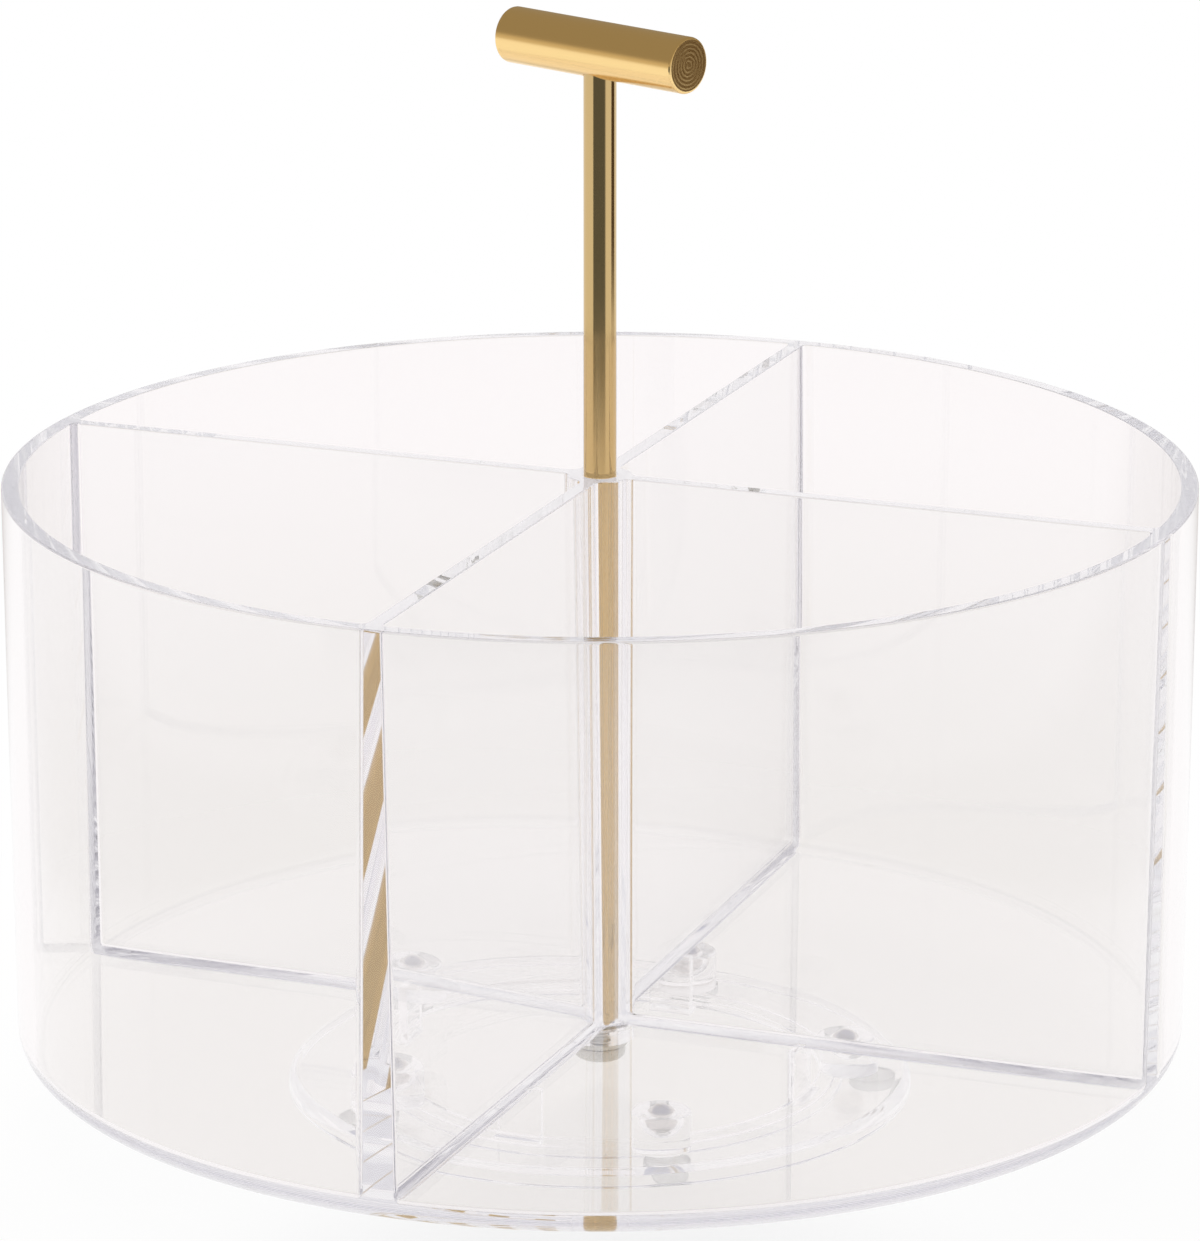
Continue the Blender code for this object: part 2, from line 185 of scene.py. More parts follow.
def close_piece(part, sharp=32.0):
    """Merges doubles, turns faces outwards and shades the piece so that flat faces stay flat."""
    only(part)
    bpy.ops.object.mode_set(mode="EDIT")
    bpy.ops.mesh.select_all(action="SELECT")
    bpy.ops.mesh.remove_doubles(threshold=SAME_PLACE)
    bpy.ops.mesh.normals_make_consistent(inside=False)
    bpy.ops.object.mode_set(mode="OBJECT")
    bpy.ops.object.shade_smooth_by_angle(angle=math.radians(sharp))
    even = part.modifiers.new("even_shading", "WEIGHTED_NORMAL")
    even.keep_sharp = True
    even.weight = 90
    bpy.ops.object.modifier_apply(modifier=even.name)


def dress(part, body, material, node):
    """Gives a piece its finish, and lets it stand for its engineering node and ride on its body."""
    part.data.materials.clear()
    part.data.materials.append(material)
    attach(part, body)
    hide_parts(node)
    form = bmesh.new()
    form.from_mesh(part.data)
    loose = sum(not edge.is_manifold for edge in form.edges)
    form.free()
    print(f"{part.name}: {len(part.data.polygons)} faces, {loose} open edges")


# %% [markdown]
# ## Clear plastic
# The bin and the ring are moulded in clear plastic. The surface itself has no colour. Cut edges and
# thick corners look lilac and grey because light goes a long way inside them, so a thin absorption
# inside the solid gives the tint: a wall stays clear, and an edge seen end on turns darker. A mould
# also leaves very slight waves, which show only where a light is mirrored or a line is seen through
# the wall. They are a weak bump, and both plastics share it. The bin bends light as clear styrene
# does. The ring bends it less, because its edges hardly show in the photograph.

# %% Node group: mould waves
WAVE_HEIGHT = 0.000004


def new_group(name, inputs, outputs):
    """An empty node group with named number inputs and named outputs."""
    group = bpy.data.node_groups.new(name, "ShaderNodeTree")
    sockets = group.interface
    for label, value in inputs:
        socket = sockets.new_socket(name=label, in_out="INPUT", socket_type="NodeSocketFloat")
        socket.default_value = value
    for label, kind in outputs:
        sockets.new_socket(name=label, in_out="OUTPUT", socket_type=kind)
    return group, group.nodes.new("NodeGroupInput"), group.nodes.new("NodeGroupOutput")


def number_node(tree, operation, *values):
    """A Math node; each value is a number or another node's output."""
    node = tree.nodes.new("ShaderNodeMath")
    node.operation = operation
    for place, value in enumerate(values):
        if isinstance(value, float):
            node.inputs[place].default_value = value
        else:
            tree.links.new(value, node.inputs[place])
    return node.outputs["Value"]


def add_noise(group, size, detail):
    """Noise in the piece's own space; its size in metres is one of the group's inputs."""
    place = group.nodes.new("ShaderNodeTexCoord")
    texture = group.nodes.new("ShaderNodeTexNoise")
    texture.inputs["Detail"].default_value = detail
    group.links.new(number_node(group, "DIVIDE", 1.0, size), texture.inputs["Scale"])
    group.links.new(place.outputs["Object"], texture.inputs["Vector"])
    return texture.outputs["Fac"]


def add_bump(group, texture, height, normal):
    """A bump from a texture; its height in metres is one of the group's inputs."""
    bump = group.nodes.new("ShaderNodeBump")
    bump.inputs["Strength"].default_value = 1.0
    group.links.new(texture, bump.inputs["Height"])
    group.links.new(height, bump.inputs["Distance"])
    group.links.new(bump.outputs["Normal"], normal)


mould_waves, given, result = new_group(
    "mould_waves",
    (("Wave Length", 0.03), ("Wave Height", WAVE_HEIGHT)),
    (("Normal", "NodeSocketVector"),),
)
waves = add_noise(mould_waves, given.outputs["Wave Length"], detail=1.0)
add_bump(mould_waves, waves, given.outputs["Wave Height"], result.inputs["Normal"])
print("group:", mould_waves.name)

# %% Materials: clear plastic for the bin and for the ring
TINT, DENSITY = (0.79, 0.785, 0.825), 4.0


def new_material(name):
    """A material with the names that are used while it is built."""
    material = bpy.data.materials.new(name)
    material.use_nodes = True
    nodes, links = material.node_tree.nodes, material.node_tree.links
    return material, nodes, links, nodes["Principled BSDF"]


def add_group(nodes, group, **values):
    """Places a node group in a material, with its own values."""
    node = nodes.new("ShaderNodeGroup")
    node.node_tree = group
    for label, value in values.items():
        node.inputs[label.replace("_", " ")].default_value = value
    return node


def clear_plastic(name, index, wave_length):
    """Hard clear plastic with a thin tint inside and slight mould waves."""
    material, nodes, links, shader = new_material(name)
    shader.inputs["Base Color"].default_value = (0.985, 0.985, 0.985, 1.0)
    shader.inputs["Roughness"].default_value = 0.0
    shader.inputs["IOR"].default_value = index
    shader.inputs["Transmission Weight"].default_value = 1.0
    waves = add_group(nodes, mould_waves, Wave_Length=wave_length, Wave_Height=WAVE_HEIGHT)
    links.new(waves.outputs["Normal"], shader.inputs["Normal"])
    absorption = nodes.new("ShaderNodeVolumeAbsorption")
    absorption.inputs["Color"].default_value = (*TINT, 1.0)
    absorption.inputs["Density"].default_value = DENSITY
    links.new(absorption.outputs["Volume"], nodes["Material Output"].inputs["Volume"])
    return material


bin_plastic = clear_plastic("bin_moulded_clear", index=1.59, wave_length=0.03)
ring_plastic = clear_plastic("ring_moulded_clear", index=1.36, wave_length=0.02)
print("materials:", bin_plastic.name, ring_plastic.name)

# %% [markdown]
# ## The bin
# The real bin is one moulding. A mould for it has an outer half and a core with four blocks, one
# for each compartment, so it is modelled the same way: a tapered round blank, with one
# compartment's block shaped with care, copied four times round and cut out. The dividers are what
# is left between the blocks. Their faces lean a little, as moulded faces do, or the bin would not
# come off the core. The blank is a cone with a rounded foot and a fine rim, and the tube's boss is
# drawn down from its underside.

# %% Sizes of the bin, in metres
RIM_TOP, FLOOR_TOP, UNDERSIDE, BOSS_BOTTOM = 0.1262, 0.0172, 0.0132, 0.0098
RIM_RADIUS, WALL = 0.1145, 0.0034
LEAN = math.tan(math.radians(0.4))
DIVIDER_FOOT, DIVIDER_TOP = 0.0060, 0.0030
TUBE_FOOT, TUBE_TOP = 0.0067, 0.0063
BASE_ROUND, FLOOR_ROUND, CORNER_ROUND = 0.0055, 0.0011, 0.0012
RIM_OUTER_ROUND, RIM_FINE_ROUND = 0.0005, 0.00025
# Cutting forms reach past what they cut by BEYOND. FAR is well outside the bin.
BEYOND, FAR = 0.003, 0.5
WALL_SIDES, ROUND_SIDES = 288, 96
HALF_SIDE = math.pi / WALL_SIDES


def wall_radius(height):
    """The outer radius of the wall, which narrows towards the floor."""
    return RIM_RADIUS - (RIM_TOP - height) * LEAN


def leaning(foot, top, height):
    """A size that changes evenly from the floor to the rim."""
    return foot + (top - foot) * (height - FLOOR_TOP) / (RIM_TOP - FLOOR_TOP)


# %% The blank
bpy.ops.mesh.primitive_cone_add(
    vertices=WALL_SIDES,
    radius1=wall_radius(UNDERSIDE),
    radius2=wall_radius(RIM_TOP),
    depth=RIM_TOP - UNDERSIDE,
    location=(0.0, 0.0, (UNDERSIDE + RIM_TOP) / 2),
    rotation=(0.0, 0.0, HALF_SIDE),
)
clear_bin = open_new("clear_bin")
pick(clear_bin, "EDGE", ring_edge(wall_radius(UNDERSIDE), UNDERSIDE))
round_off(BASE_ROUND, segments=14)
pick(clear_bin, "EDGE", ring_edge(RIM_RADIUS, RIM_TOP))
round_off(RIM_OUTER_ROUND, segments=5)
pick(clear_bin, "FACE", lambda face: bottom_face(face) and cap(face))
bpy.ops.mesh.inset(thickness=wall_radius(UNDERSIDE) - BASE_ROUND - TUBE_FOOT, depth=0.0)
draw_up(BOSS_BOTTOM - UNDERSIDE)
only(clear_bin)
print("blank:", len(clear_bin.data.polygons), "faces")

# %% [markdown]
# One compartment is a quarter of a slightly smaller disc, drawn up. Two upright cuts make it a
# quarter, and the centre tube is taken out of its point. It is cut straight at the floor's sizes.
# Then only its top is moved to the rim's sizes, so all its faces lean. A bevel needs room beside
# its edge, so the fine divisions next to each upright corner are dissolved before the corners are
# rounded. The floor edge is rounded last.

# %% A quarter block, cut straight
BLOCK_TOP = RIM_TOP + BEYOND


def block_sizes(height):
    """The block's wall radius, tube radius and distance from a divider's middle at a height."""
    half = leaning(DIVIDER_FOOT, DIVIDER_TOP, height) / 2
    return wall_radius(height) - WALL, leaning(TUBE_FOOT, TUBE_TOP, height), half


def block_corners(wall, tube, half):
    """Where the block's four upright corners stand, seen from above."""
    places = [Vector((math.sqrt(radius**2 - half**2), half)) for radius in (wall, tube)]
    return places + [place.yx for place in places]


low_sizes, high_sizes = block_sizes(FLOOR_TOP), block_sizes(BLOCK_TOP)
low_corners, high_corners = block_corners(*low_sizes), block_corners(*high_sizes)
add_rod(WALL_SIDES, low_sizes[0], FLOOR_TOP, BLOCK_TOP, turn=HALF_SIDE)
block = open_new("compartment_block")
for facing in ((1.0, 0.0, 0.0), (0.0, 1.0, 0.0)):
    bpy.ops.mesh.select_all(action="SELECT")
    bpy.ops.mesh.bisect(
        plane_co=(low_sizes[2],) * 3, plane_no=facing, use_fill=True, clear_inner=True
    )
only(None)
add_rod(ROUND_SIDES, low_sizes[1], -FAR, FAR)
tube_form = open_new("tube_form")
cut(block, tube_form, "DIFFERENCE")
print("quarter block:", len(block.data.polygons), "faces")

# %% Lean its faces and round its edges
# Divisions that stand nearer to a corner than TUBE_ROOM or WALL_ROOM leave no room for its round.
UPRIGHT_LENGTH, TUBE_ROOM, WALL_ROOM = 0.05, 0.00125, 0.0018


def from_corner(vertex):
    """How far a vertex is, seen from above, from the straight block's nearest corner."""
    return min((vertex.co.xy - corner).length for corner in low_corners)


def upright(edge):
    """A rule for edges that go from the block's floor to its top."""
    return abs(edge.verts[0].co.z - edge.verts[1].co.z) > UPRIGHT_LENGTH


def crowding(edge):
    """A rule for upright edges beside a corner: nearer to it than its round reaches."""
    room = TUBE_ROOM if across(edge.verts[0].co) < 2 * TUBE_FOOT else WALL_ROOM
    return upright(edge) and all(NEAR < from_corner(vertex) < room for vertex in edge.verts)


only(block)
bpy.ops.object.mode_set(mode="EDIT")
dissolved = pick(block, "EDGE", crowding)
bpy.ops.mesh.dissolve_edges(use_verts=True)
for low, high in zip(low_sizes[:2], high_sizes[:2]):
    pick(
        block,
        "VERT",
        lambda vertex: vertex.co.z > RIM_TOP
        and abs(across(vertex.co) - low) < NEAR
        and from_corner(vertex) > NEAR,
    )
    bpy.ops.transform.resize(value=(high / low, high / low, 1.0), center_override=(0.0, 0.0, 0.0))
for low, high in zip(low_corners, high_corners):
    pick(block, "VERT", lambda vertex: vertex.co.z > RIM_TOP and (vertex.co.xy - low).length < NEAR)
    bpy.ops.transform.translate(value=(*(high - low), 0.0))
corners = pick(
    block,
    "EDGE",
    lambda edge: upright(edge) and min(from_corner(vertex) for vertex in edge.verts) < NEAR,
)
round_off(CORNER_ROUND, segments=8)
pick(block, "EDGE", at_height(FLOOR_TOP))
round_off(FLOOR_ROUND, segments=7)
only(block)
print("divisions dissolved:", dissolved, "corners rounded:", corners)

# %% Cut the four compartments and the post's bore
COMPARTMENTS, BORE, SCREW_HOLE, WEB_TOP = 4, 0.00335, 0.0022, 0.0119
blocks = join_all(copy_round(block, COMPARTMENTS))
cut(clear_bin, blocks, "DIFFERENCE")
add_rod(ROUND_SIDES, BORE, WEB_TOP, BLOCK_TOP)
bore_form = open_new("bore_form")
pick(bore_form, "FACE", bottom_face)
bpy.ops.mesh.inset(thickness=BORE - SCREW_HOLE, depth=0.0)
draw_up(-2 * BEYOND)
cut(clear_bin, bore_form, "DIFFERENCE")
print("bin with its compartments:", len(clear_bin.data.polygons), "faces")

# %% [markdown]
# The dividers' tops and the wall's inner edge are not knife sharp. A very small round there catches
# a thin line of light, and it is this line that draws the rim in the photograph. The edges to round
# are those between the flat rim face and any face that goes down from it.

# %% Soften the edges of the rim's flat face
def rim_edge(edge):
    """A rule for edges between the flat rim face and a face that goes down from it."""
    return at_height(RIM_TOP)(edge) and min(abs(face.normal.z) for face in edge.link_faces) < STEEP


only(clear_bin)
bpy.ops.object.mode_set(mode="EDIT")
bpy.ops.mesh.select_all(action="SELECT")
bpy.ops.mesh.remove_doubles(threshold=SAME_PLACE)
bpy.ops.mesh.dissolve_limited(angle_limit=math.radians(0.05))
softened = pick(clear_bin, "EDGE", rim_edge)
round_off(RIM_FINE_ROUND, segments=3)
only(clear_bin)
print("rim edge divisions softened:", softened)

# %% [markdown]
# Four small hooks hang under the floor and snap below the ring's inner lip. Each is a short curved
# wall with a barb. A flat face is its section. The barb is drawn out of the section's outer side,
# its lower corner is filled to make a lead-in, and the Spin tool sweeps the section through twelve
# degrees.

# %% The snap hooks
HOOK_INSIDE, HOOK_OUTSIDE, HOOK_TIP = 0.0409, 0.0425, 0.0444
HOOK_BOTTOM, BARB_EDGE, BARB_TOP, HOOK_ROOT = 0.0011, 0.0019, 0.0023, 0.0152
HOOKS, HOOK_SWEEP, HOOK_STEPS = 4, math.radians(12), 12
bpy.ops.mesh.primitive_plane_add(
    size=1.0,
    location=((HOOK_INSIDE + HOOK_OUTSIDE) / 2, 0.0, (HOOK_BOTTOM + HOOK_ROOT) / 2),
    rotation=(math.radians(90), 0.0, 0.0),
)
hook = open_new("snap_hook", scale=(HOOK_OUTSIDE - HOOK_INSIDE, HOOK_ROOT - HOOK_BOTTOM, 1.0))
for level in (BARB_EDGE, BARB_TOP):
    bpy.ops.mesh.select_all(action="SELECT")
    bpy.ops.mesh.bisect(plane_co=(0.0, 0.0, level), plane_no=(0.0, 0.0, 1.0))


def outer_side(edge):
    """A rule for edges on the outer side of the hook's wall."""
    return all(abs(vertex.co.x - HOOK_OUTSIDE) < NEAR for vertex in edge.verts)


def barb_side(edge):
    """A rule for the edge that the barb is drawn out of."""
    heights = [vertex.co.z for vertex in edge.verts]
    return outer_side(edge) and min(heights) > BARB_EDGE - NEAR and max(heights) < BARB_TOP + NEAR


def lead_in_corner(vertex):
    """A rule for the low corners of the wall and the barb, which the lead-in joins."""
    on_side = any(abs(vertex.co.x - side) < NEAR for side in (HOOK_OUTSIDE, HOOK_TIP))
    return on_side and vertex.co.z < BARB_EDGE + NEAR


pick(hook, "EDGE", barb_side)
bpy.ops.mesh.extrude_region_move(
    TRANSFORM_OT_translate={"value": (HOOK_TIP - HOOK_OUTSIDE, 0.0, 0.0)}
)
pick(hook, "VERT", lead_in_corner)
bpy.ops.mesh.edge_face_add()
bpy.ops.mesh.select_all(action="SELECT")
bpy.ops.transform.rotate(value=-HOOK_SWEEP / 2, orient_axis="Z", center_override=(0.0, 0.0, 0.0))
bpy.ops.mesh.spin(
    steps=HOOK_STEPS, angle=HOOK_SWEEP, center=(0.0, 0.0, 0.0), axis=(0.0, 0.0, 1.0)
)
bpy.ops.mesh.select_all(action="SELECT")
bpy.ops.mesh.normals_make_consistent(inside=False)
only(hook)
middle = sum((vertex.co for vertex in hook.data.vertices), Vector()) / len(hook.data.vertices)
angle = math.degrees(math.atan2(middle.y, middle.x))
print("hook:", len(hook.data.polygons), "faces, middle at", round(angle, 2), "degrees")
cut(clear_bin, join_all(copy_round(hook, HOOKS)), "UNION")
close_piece(clear_bin)
dress(clear_bin, "bin", bin_plastic, "divided_bin")

# %% [markdown]
# ## The base ring
# The ring is a low hat section: a flat web, a skirt outside, a rib inside and a thin lip that the
# hooks hold. From below it is one disc whose cap is inset several times, with the channel and the
# lip pushed up. The two inner discs are bridged to make the hole. Five bosses stand on it. Each is
# a short cylinder with a ball cut out, so its mouth is narrower than the ball and the ball stays
# in.

# %% The ring's section
RING_BOTTOM, WEB_UNDERSIDE, RING_TOP = 0.0008, 0.0026, 0.0042
RING_OUTSIDE, CHANNEL_OUTSIDE, CHANNEL_INSIDE = 0.0610, 0.0592, 0.0476
RIB_INSIDE, RING_BORE = 0.0460, 0.0430
RING_SIDES, SHOULDER_ROUND, RING_EDGE_ROUND = 216, 0.0026, 0.0002
add_rod(RING_SIDES, RING_OUTSIDE, RING_BOTTOM, RING_TOP)
clear_ring = open_new("clear_base_ring")
pick(clear_ring, "FACE", bottom_face)
for outer, inner in (
    (RING_OUTSIDE, CHANNEL_OUTSIDE),
    (CHANNEL_OUTSIDE, CHANNEL_INSIDE),
    (CHANNEL_INSIDE, RIB_INSIDE),
    (RIB_INSIDE, RING_BORE),
):
    bpy.ops.mesh.inset(thickness=outer - inner, depth=0.0)


def annulus(inner, outer):
    """A rule for faces that look down, between two radii."""
    return lambda face: bottom_face(face) and inner < across(face.calc_center_median()) < outer


for inner, outer in ((CHANNEL_INSIDE, CHANNEL_OUTSIDE), (-1.0, RIB_INSIDE)):
    pick(clear_ring, "FACE", annulus(inner, outer))
    draw_up(WEB_UNDERSIDE - RING_BOTTOM)
pick(clear_ring, "FACE", top_face)
bpy.ops.mesh.inset(thickness=RING_OUTSIDE - RING_BORE, depth=0.0)
pick(clear_ring, "FACE", cap)
bpy.ops.mesh.bridge_edge_loops()
pick(clear_ring, "EDGE", ring_edge(RING_OUTSIDE, RING_TOP))
round_off(SHOULDER_ROUND, segments=9)
for radius, height in (
    (RING_OUTSIDE, RING_BOTTOM),
    (CHANNEL_OUTSIDE, RING_BOTTOM),
    (CHANNEL_INSIDE, RING_BOTTOM),
    (RIB_INSIDE, RING_BOTTOM),
    (RING_BORE, WEB_UNDERSIDE),
):
    pick(clear_ring, "EDGE", ring_edge(radius, height))
    round_off(RING_EDGE_ROUND, segments=3)
only(clear_ring)
print("ring:", len(clear_ring.data.polygons), "faces")

# %% The five ball bosses
BALLS, BALL_CIRCLE, FIRST_BALL = 5, 0.0489, math.radians(-55)
BALL_RADIUS, BALL_CENTRE, SOCKET, BOSS_RADIUS, BOSS_TOP = 0.0030, 0.0099, 0.00315, 0.0057, 0.0117
BOSS_SIDES, BOSS_ROUND, LIP_ROUND = 64, 0.0005, 0.0001


def on_ring(radius):
    """A point in the first ball's direction from the spin axis."""
    return radius * math.cos(FIRST_BALL), radius * math.sin(FIRST_BALL)


boss_low = (RING_TOP + WEB_UNDERSIDE) / 2
add_rod(BOSS_SIDES, BOSS_RADIUS, boss_low, BOSS_TOP, centre=on_ring(BALL_CIRCLE))
boss = open_new("ball_boss")
pick(boss, "EDGE", at_height(BOSS_TOP))
round_off(BOSS_ROUND, segments=4)
only(None)
bpy.ops.mesh.primitive_uv_sphere_add(
    segments=BOSS_SIDES,
    ring_count=BOSS_SIDES // 2,
    radius=SOCKET,
    location=(*on_ring(BALL_CIRCLE), BALL_CENTRE),
)
socket_form = open_new("socket_form")
cut(boss, socket_form, "DIFFERENCE")
mouth = math.sqrt(SOCKET**2 - (BOSS_TOP - BALL_CENTRE) ** 2)
only(boss)
bpy.ops.object.mode_set(mode="EDIT")
lip = pick(boss, "EDGE", ring_edge(mouth, BOSS_TOP, on_ring(BALL_CIRCLE)))
round_off(LIP_ROUND, segments=2)
only(boss)
print("boss:", len(boss.data.polygons), "faces, lip divisions:", lip)
cut(clear_ring, join_all(copy_round(boss, BALLS)), "UNION")
close_piece(clear_ring)
dress(clear_ring, "base", ring_plastic, "base_ring")

# %% [markdown]
# ## Steel
# The balls, the washer and the screw are plain steel. The balls are polished, and the other two are
# plated. Handling and tumbling leave marks in a polished metal that a plain shader does not have:
# fine scratches that spread a highlight, and cloudy patches where the polish varies. One group
# gives both, and gold uses it too.

# %% Node group: polish marks
polish_marks, given, result = new_group(
    "polish_marks",
    (
        ("Base Roughness", 0.1),
        ("Cloud Size", 0.006),
        ("Cloudiness", 0.04),
        ("Grain Size", 0.0002),
        ("Grain Height", 0.0),
    ),
    (("Roughness", "NodeSocketFloat"), ("Normal", "NodeSocketVector")),
)
clouds = add_noise(polish_marks, given.outputs["Cloud Size"], detail=3.0)
clouds = number_node(polish_marks, "SUBTRACT", clouds, 0.5)
cloudiness, base = given.outputs["Cloudiness"], given.outputs["Base Roughness"]
roughness = number_node(polish_marks, "MULTIPLY_ADD", clouds, cloudiness, base)
polish_marks.links.new(roughness, result.inputs["Roughness"])
grain = add_noise(polish_marks, given.outputs["Grain Size"], detail=3.0)
add_bump(polish_marks, grain, given.outputs["Grain Height"], result.inputs["Normal"])
print("group:", polish_marks.name)


# %% Materials: polished and plated metals
def metal(name, colour, **marks):
    """A metal with polish marks, whose values are named as the group's inputs."""
    material, nodes, links, shader = new_material(name)
    shader.inputs["Base Color"].default_value = (*colour, 1.0)
    shader.inputs["Metallic"].default_value = 1.0
    polish = add_group(nodes, polish_marks, **marks)
    links.new(polish.outputs["Roughness"], shader.inputs["Roughness"])
    links.new(polish.outputs["Normal"], shader.inputs["Normal"])
    return material


ball_steel = metal(
    "ball_polished_steel",
    (0.76, 0.73, 0.71),
    Base_Roughness=0.26,
    Cloud_Size=0.002,
    Cloudiness=0.06,
)
plated_steel = metal(
    "zinc_plated_steel",
    (0.50, 0.47, 0.42),
    Base_Roughness=0.28,
    Cloud_Size=0.003,
    Cloudiness=0.15,
    Grain_Size=0.0003,
    Grain_Height=0.000004,
)
print("materials:", ball_steel.name, plated_steel.name)

# %% The bearing balls
bpy.ops.mesh.primitive_cube_add(size=2 * BALL_RADIUS, location=(*on_ring(BALL_CIRCLE), BALL_CENTRE))
first_ball = open_new("bearing_ball")
bpy.ops.mesh.select_all(action="SELECT")
bpy.ops.mesh.subdivide(number_cuts=15)
bpy.ops.transform.tosphere(value=1.0)
only(first_ball)
centre = Vector((*on_ring(BALL_CIRCLE), BALL_CENTRE))
reach = max((vertex.co - centre).length for vertex in first_ball.data.vertices)
bpy.ops.object.mode_set(mode="EDIT")
bpy.ops.mesh.select_all(action="SELECT")
bpy.ops.transform.resize(value=(BALL_RADIUS / reach,) * 3, center_override=centre)
close_piece(first_ball, sharp=60.0)
for number, ball in enumerate(copy_round(first_ball, BALLS), start=1):
    ball.name = ball.data.name = f"bearing_ball_{number}"
    dress(ball, f"bearing_ball_{number}", ball_steel, f"ball_{number}")

# %% [markdown]
# The post stands on the web of its tube and is held by one screw from below, with a washer under
# the web. The washer is a disc with a hole and slightly rolled edges. The screw is turned from its
# head: the head's lower edge is rounded, the shank is drawn up from its flat top, and a cross
# recess is cut for the driver. Its thread is a small triangle that a Screw modifier winds up the
# shank.

# %% The washer
WASHER_LOW, WASHER_HIGH, WASHER_RADIUS, WASHER_HOLE = 0.0085, 0.0095, 0.0055, 0.0022
WASHER_ROUND = 0.00015
add_rod(ROUND_SIDES, WASHER_RADIUS, WASHER_LOW, WASHER_HIGH)
washer = open_new("post_washer_plated")
pick(washer, "FACE", cap)
bpy.ops.mesh.inset(thickness=WASHER_RADIUS - WASHER_HOLE, depth=0.0, use_individual=True)
bpy.ops.mesh.bridge_edge_loops()
for radius in (WASHER_RADIUS, WASHER_HOLE):
    for height in (WASHER_LOW, WASHER_HIGH):
        pick(washer, "EDGE", ring_edge(radius, height))
        round_off(WASHER_ROUND, segments=3)
close_piece(washer)
dress(washer, "bin", plated_steel, "post_washer")

# %% The screw's head and shank
HEAD_LOW, HEAD_HIGH, HEAD_RADIUS = 0.0056, 0.0082, 0.0050
SHANK_RADIUS, THREAD_DEPTH, PITCH, SHANK_TOP = 0.0020, 0.0003, 0.0007, 0.0202
HEAD_ROUND, HEAD_EDGE_ROUND, SHANK_CHAMFER = 0.0013, 0.0001, 0.0004
CROSS_SIZE, CROSS_TAPER = (0.0052, 0.0011, 0.0032), 0.45
add_rod(ROUND_SIDES, HEAD_RADIUS, HEAD_LOW, HEAD_HIGH)
screw = open_new("post_screw_plated")
pick(screw, "FACE", top_face)
bpy.ops.mesh.inset(thickness=HEAD_RADIUS - SHANK_RADIUS + THREAD_DEPTH, depth=0.0)
draw_up(SHANK_TOP - HEAD_HIGH)
pick(screw, "EDGE", ring_edge(HEAD_RADIUS, HEAD_LOW))
round_off(HEAD_ROUND, segments=8)
pick(screw, "EDGE", ring_edge(HEAD_RADIUS, HEAD_HIGH))
round_off(HEAD_EDGE_ROUND, segments=2)
pick(screw, "EDGE", at_height(SHANK_TOP))
round_off(SHANK_CHAMFER, segments=1)
only(None)
for turn in (0.0, math.pi / 2):
    bpy.ops.mesh.primitive_cube_add(
        size=1.0, location=(0.0, 0.0, HEAD_LOW), rotation=(0.0, 0.0, turn)
    )
    recess = open_new("cross_recess", scale=CROSS_SIZE)
    pick(recess, "FACE", top_face)
    bpy.ops.transform.resize(value=(CROSS_TAPER, CROSS_TAPER, 1.0))
    cut(screw, recess, "DIFFERENCE")
print("screw:", len(screw.data.polygons), "faces")

# %% The screw's thread
THREAD_LOW, TURNS, THREAD_STEPS = 0.0100, 13, 32
THREAD_SINK, THREAD_HALF_WIDTH = 0.0001, 0.42 * PITCH
TRIANGLE_HEIGHT, TRIANGLE_HALF_WIDTH = 1.5, 0.866
bpy.ops.mesh.primitive_circle_add(
    vertices=3, radius=1.0, rotation=(math.radians(90), math.radians(90), 0.0)
)
thread = open_new("thread_form")
bpy.ops.mesh.select_all(action="SELECT")
depth = (THREAD_DEPTH + THREAD_SINK) / TRIANGLE_HEIGHT
width = THREAD_HALF_WIDTH / TRIANGLE_HALF_WIDTH
bpy.ops.transform.resize(value=(depth, 1.0, width), center_override=(0.0, 0.0, 0.0))
bpy.ops.transform.translate(value=(SHANK_RADIUS - depth, 0.0, THREAD_LOW))
only(thread)
winding = thread.modifiers.new("winding", "SCREW")
winding.screw_offset = PITCH
winding.iterations = TURNS
winding.steps = winding.render_steps = THREAD_STEPS
winding.use_normal_calculate = True
bpy.ops.object.modifier_apply(modifier=winding.name)
bpy.ops.object.mode_set(mode="EDIT")
for low, high in ((-1.0, THREAD_LOW + PITCH), (THREAD_LOW + PITCH, 1.0)):
    ends = pick(
        thread,
        "EDGE",
        lambda edge: edge.is_boundary and all(low < vertex.co.z < high for vertex in edge.verts),
    )
    bpy.ops.mesh.edge_face_add()
    print("end of the thread closed with", ends, "edges")
bpy.ops.mesh.select_all(action="SELECT")
bpy.ops.mesh.normals_make_consistent(inside=False)
cut(screw, thread, "UNION")
close_piece(screw)
dress(screw, "bin", plated_steel, "post_screw")

# %% [markdown]
# ## The gold handle
# The handle is a quarter inch rod and a turned bar, both plated in a polished gold. The rod is
# drawn and smooth. Both ends of the bar were faced on a lathe, which leaves shallow rings round a
# tiny centre. The rings are real: the cap is inset again and again, a hair in and a hair out.

# %% Materials: polished gold, and a darker copy of it with painted shade for the post
bar_gold = metal(
    "bar_polished_gold",
    (1.0, 0.72, 0.325),
    Base_Roughness=0.20,
    Cloud_Size=0.008,
    Cloudiness=0.05,
    Grain_Size=0.0004,
    Grain_Height=0.000001,
)
# The post is plated like the bar, so its darker gold is painted shade.
shaded_post_gold = metal(
    "post_polished_gold",
    (0.63, 0.45, 0.21),
    Base_Roughness=0.11,
    Cloud_Size=0.010,
    Cloudiness=0.04,
    Grain_Size=0.0004,
    Grain_Height=0.000001,
)
print("materials:", bar_gold.name, shaded_post_gold.name)

